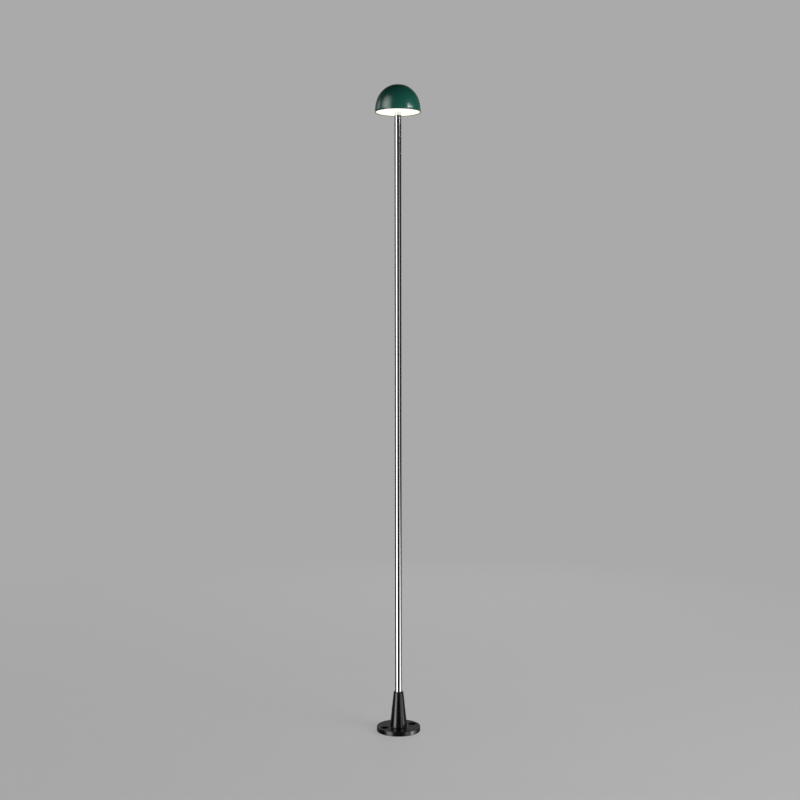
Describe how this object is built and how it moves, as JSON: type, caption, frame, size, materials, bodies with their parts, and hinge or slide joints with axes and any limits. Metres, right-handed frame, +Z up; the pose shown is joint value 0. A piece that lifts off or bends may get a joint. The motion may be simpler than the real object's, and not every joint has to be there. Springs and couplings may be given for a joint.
{
  "type": "pole light",
  "caption": "Slim pole light: small lacquered dome over a glowing opal diffuser, on a straight polished tube in a black conical base with a bolt-down flange.",
  "frame": {"origin": "centre of the base's underside, on the surface that the light stands on", "axes": "+Z up along the mast towards the dome; +X and +Y level, with one anchor hole 25 degrees from +X towards +Y and the other opposite it, and the two set screws on the +Y side"},
  "size_m": [0.1064, 0.1064, 1.5],
  "materials": {
    "black_powder_coat": "semi-gloss black powder coat",
    "green_lacquer": "high-gloss dark green lacquer",
    "polished_steel": "polished stainless steel",
    "opal_plastic": "satin opal, lit warm white from behind",
    "black_rubber": "matte",
    "zinc_steel": "bright zinc plate",
    "black_steel": "black oxide",
    "brass": "turned brass",
    "aluminium_tray": "spun aluminium",
    "white_board": "white solder mask",
    "green_board": "green solder mask",
    "led_phosphor": "yellow phosphor under clear silicone, lit",
    "white_plastic": "moulded, fine texture",
    "black_plastic": "moulded, satin",
    "grey_plastic": "moulded, satin",
    "yellow_tape": "film tape",
    "lead_sheath": "matte",
    "brown_insulation": "smooth",
    "blue_insulation": "smooth",
    "earth_insulation": "green with a yellow stripe",
    "red_insulation": "smooth",
    "black_insulation": "smooth"
  },
  "bodies": {
    "base": {"base_casting": "black_powder_coat", "socket_seal": "black_rubber", "set_screw_left": "black_steel", "set_screw_right": "black_steel", "inlet_body": "black_plastic", "inlet_seal": "black_rubber", "inlet_pin_1": "brass", "inlet_pin_2": "brass", "inlet_pin_3": "brass"},
    "column": {"column_tube": "polished_steel", "lower_grommet": "black_rubber", "top_insert": "zinc_steel", "hollow_nipple": "brass", "nipple_grommet": "white_plastic", "flat_washer": "zinc_steel", "lock_washer": "zinc_steel", "nipple_nut": "zinc_steel", "heat_sink_tray": "aluminium_tray", "led_board": "white_board", "led_chip_01": "led_phosphor", "led_chip_02": "led_phosphor", "led_chip_03": "led_phosphor", "led_chip_04": "led_phosphor", "led_chip_05": "led_phosphor", "led_chip_06": "led_phosphor", "led_chip_07": "led_phosphor", "led_chip_08": "led_phosphor", "led_chip_09": "led_phosphor", "led_chip_10": "led_phosphor", "led_chip_11": "led_phosphor", "led_chip_12": "led_phosphor", "board_screw_1": "zinc_steel", "board_screw_2": "zinc_steel", "board_screw_3": "zinc_steel", "diffuser_cover": "opal_plastic", "diffuser_gasket": "black_rubber", "pole_seal": "black_rubber", "driver_case": "white_plastic", "driver_lid": "white_plastic", "driver_board": "green_board", "driver_transformer": "yellow_tape", "driver_capacitor": "black_plastic", "driver_terminal_in": "grey_plastic", "driver_terminal_out": "grey_plastic", "driver_screw_1": "zinc_steel", "driver_screw_2": "zinc_steel", "supply_lead": "lead_sheath", "core_live": "brown_insulation", "core_neutral": "blue_insulation", "core_earth": "earth_insulation", "led_wire_red": "red_insulation", "led_wire_black": "black_insulation", "earth_tag": "brass", "earth_screw": "brass", "dome_screw_1": "zinc_steel", "dome_screw_2": "zinc_steel", "dome_screw_3": "zinc_steel"},
    "dome": {"dome_shell": "green_lacquer"}
  },
  "joints": [
    {"name": "column_turn", "type": "hinge", "parent": "base", "child": "column", "pos_m": [0, 0, 0.0243], "axis": [0, 0, 1], "range_deg": [-180, 180]},
    {"name": "dome_lift", "type": "slide", "parent": "column", "child": "dome", "axis": [0, 0, 1], "range_m": [0, 0.09]}
  ]
}
